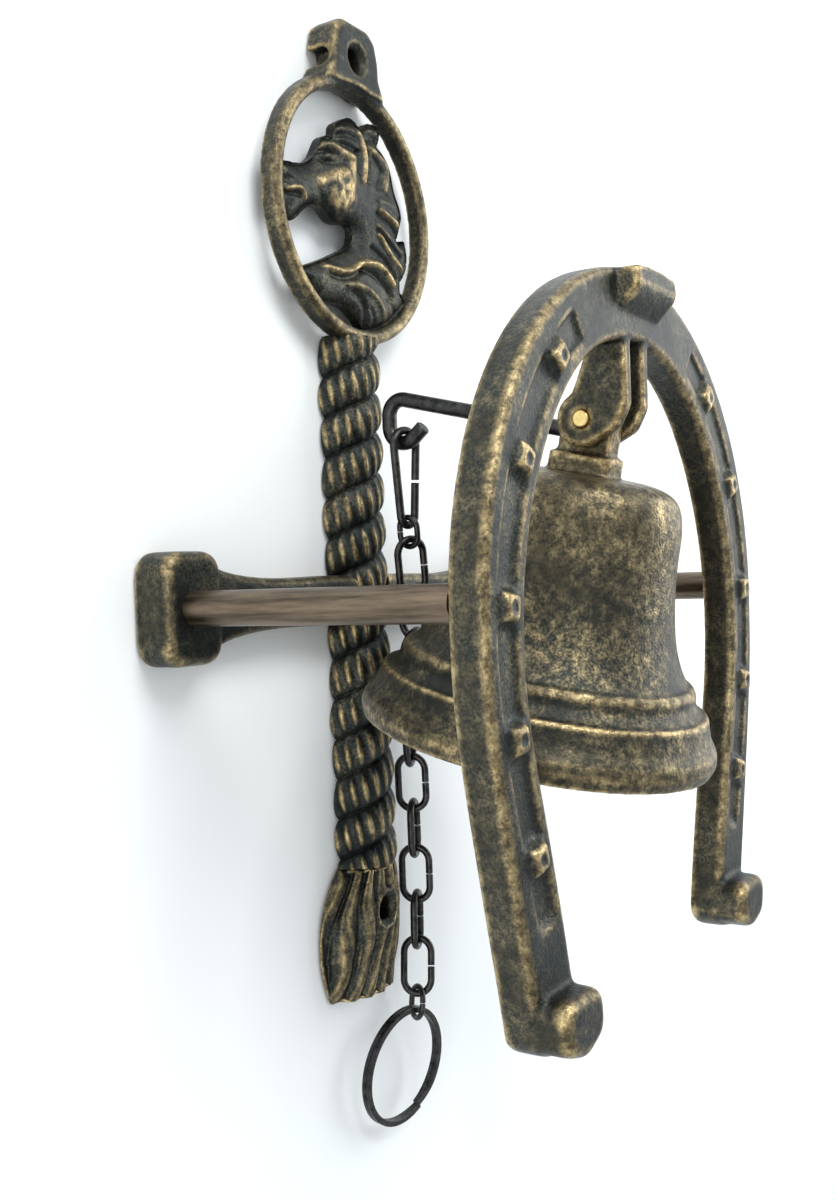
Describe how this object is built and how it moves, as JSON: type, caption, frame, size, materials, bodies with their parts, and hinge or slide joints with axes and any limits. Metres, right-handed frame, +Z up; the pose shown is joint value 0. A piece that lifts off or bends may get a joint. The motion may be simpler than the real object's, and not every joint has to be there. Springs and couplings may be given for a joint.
{
  "type": "wall bell",
  "caption": "Wall-mounted pull bell: a horse-head and rope wall strap holds a horseshoe on two rods, with a bell on a lever in it rung by a pull chain.",
  "frame": {"origin": "on the wall plane, on the strap's centre line, level with the two rods", "axes": "+Y into the wall, +Z up, +X to the right seen from the front"},
  "size_m": [0.162, 0.1011, 0.3046],
  "materials": {
    "antique_bronze": "dark blue-green patina rubbed through to brass on the edges",
    "rod_bronze": "brown brushed bronze",
    "dark_steel": "dark gunmetal, satin",
    "bright_brass": "bare bright brass"
  },
  "bodies": {
    "bracket": {"plate_ring": "antique_bronze", "horse_head": "antique_bronze", "rope_stem": "antique_bronze", "tassel": "antique_bronze", "crossbar": "antique_bronze", "left_rod": "rod_bronze", "right_rod": "rod_bronze", "horseshoe": "antique_bronze", "pivot_pin": "bright_brass"},
    "bell": {"bell": "antique_bronze", "pull_lever": "dark_steel", "clapper_staple": "dark_steel"},
    "clapper": {"clapper_rod": "dark_steel", "clapper_ball": "dark_steel"},
    "chain_clip": {"chain_clip": "dark_steel"},
    "jump_ring": {"jump_ring": "dark_steel"},
    "chain_link_01": {"chain_link_01": "dark_steel"},
    "chain_link_02": {"chain_link_02": "dark_steel"},
    "chain_link_03": {"chain_link_03": "dark_steel"},
    "chain_link_04": {"chain_link_04": "dark_steel"},
    "chain_link_05": {"chain_link_05": "dark_steel"},
    "chain_link_06": {"chain_link_06": "dark_steel"},
    "chain_link_07": {"chain_link_07": "dark_steel"},
    "chain_link_08": {"chain_link_08": "dark_steel"},
    "chain_link_09": {"chain_link_09": "dark_steel"},
    "chain_link_10": {"chain_link_10": "dark_steel"},
    "ring_connector": {"ring_connector": "dark_steel"},
    "split_ring": {"split_ring": "dark_steel"}
  },
  "joints": [
    {"name": "bell_swing", "type": "hinge", "parent": "bracket", "child": "bell", "pos_m": [0, -0.0752, 0.0418], "axis": [1, 0, 0], "range_deg": [-45, 0]},
    {"name": "clapper_swing", "type": "hinge", "parent": "bell", "child": "clapper", "pos_m": [0, -0.06955, 0.01827], "axis": [1, 0, 0], "range_deg": [-13, 38]},
    {"name": "chain_clip_swing", "type": "hinge", "parent": "bell", "child": "chain_clip", "pos_m": [0, -0.0201, 0.04132], "axis": [0, -1, 0], "range_deg": [0, 8]},
    {"name": "jump_ring_swing", "type": "hinge", "parent": "chain_clip", "child": "jump_ring", "pos_m": [0.00132, -0.01944, 0.01937], "axis": [-1, 0, 0], "range_deg": [0, 1.5]},
    {"name": "chain_link_01_swing", "type": "hinge", "parent": "jump_ring", "child": "chain_link_01", "pos_m": [0.00223, -0.0191, 0.01365], "axis": [0, -1, 0], "range_deg": [0, 8]},
    {"name": "chain_link_02_swing", "type": "hinge", "parent": "chain_link_01", "child": "chain_link_02", "pos_m": [0.00485, -0.01831, 0.00053], "axis": [-1, 0, 0], "range_deg": [0, 3]},
    {"name": "chain_link_03_swing", "type": "hinge", "parent": "chain_link_02", "child": "chain_link_03", "pos_m": [0.00894, -0.0147, -0.01149], "axis": [0, -1, 0], "range_deg": [0, 10]},
    {"name": "chain_link_04_swing", "type": "hinge", "parent": "chain_link_03", "child": "chain_link_04", "pos_m": [0.01378, -0.00921, -0.02248], "axis": [-1, 0, 0], "range_deg": [0, 8]},
    {"name": "chain_link_05_swing", "type": "hinge", "parent": "chain_link_04", "child": "chain_link_05", "pos_m": [0.0168, -0.00669, -0.03508], "axis": [0, -1, 0], "range_deg": [0, 12]},
    {"name": "chain_link_06_swing", "type": "hinge", "parent": "chain_link_05", "child": "chain_link_06", "pos_m": [0.01863, -0.00617, -0.04814], "axis": [-1, 0, 0], "range_deg": [0, 12]},
    {"name": "chain_link_07_swing", "type": "hinge", "parent": "chain_link_06", "child": "chain_link_07", "pos_m": [0.01903, -0.00617, -0.06133], "axis": [0, -1, 0], "range_deg": [0, 15]},
    {"name": "chain_link_08_swing", "type": "hinge", "parent": "chain_link_07", "child": "chain_link_08", "pos_m": [0.01916, -0.00617, -0.07453], "axis": [-1, 0, 0], "range_deg": [0, 15]},
    {"name": "chain_link_09_swing", "type": "hinge", "parent": "chain_link_08", "child": "chain_link_09", "pos_m": [0.01916, -0.00617, -0.08773], "axis": [0, -1, 0], "range_deg": [0, 15]},
    {"name": "chain_link_10_swing", "type": "hinge", "parent": "chain_link_09", "child": "chain_link_10", "pos_m": [0.01876, -0.00617, -0.10093], "axis": [-1, 0, 0], "range_deg": [0, 12]},
    {"name": "ring_connector_swing", "type": "hinge", "parent": "chain_link_10", "child": "ring_connector", "pos_m": [0.01594, -0.00745, -0.11375], "axis": [0, -1, 0], "range_deg": [-5, 15]},
    {"name": "split_ring_swing", "type": "hinge", "parent": "ring_connector", "child": "split_ring", "pos_m": [0.0144, -0.00784, -0.12016], "axis": [0, -1, 0], "range_deg": [-10, 10]}
  ]
}
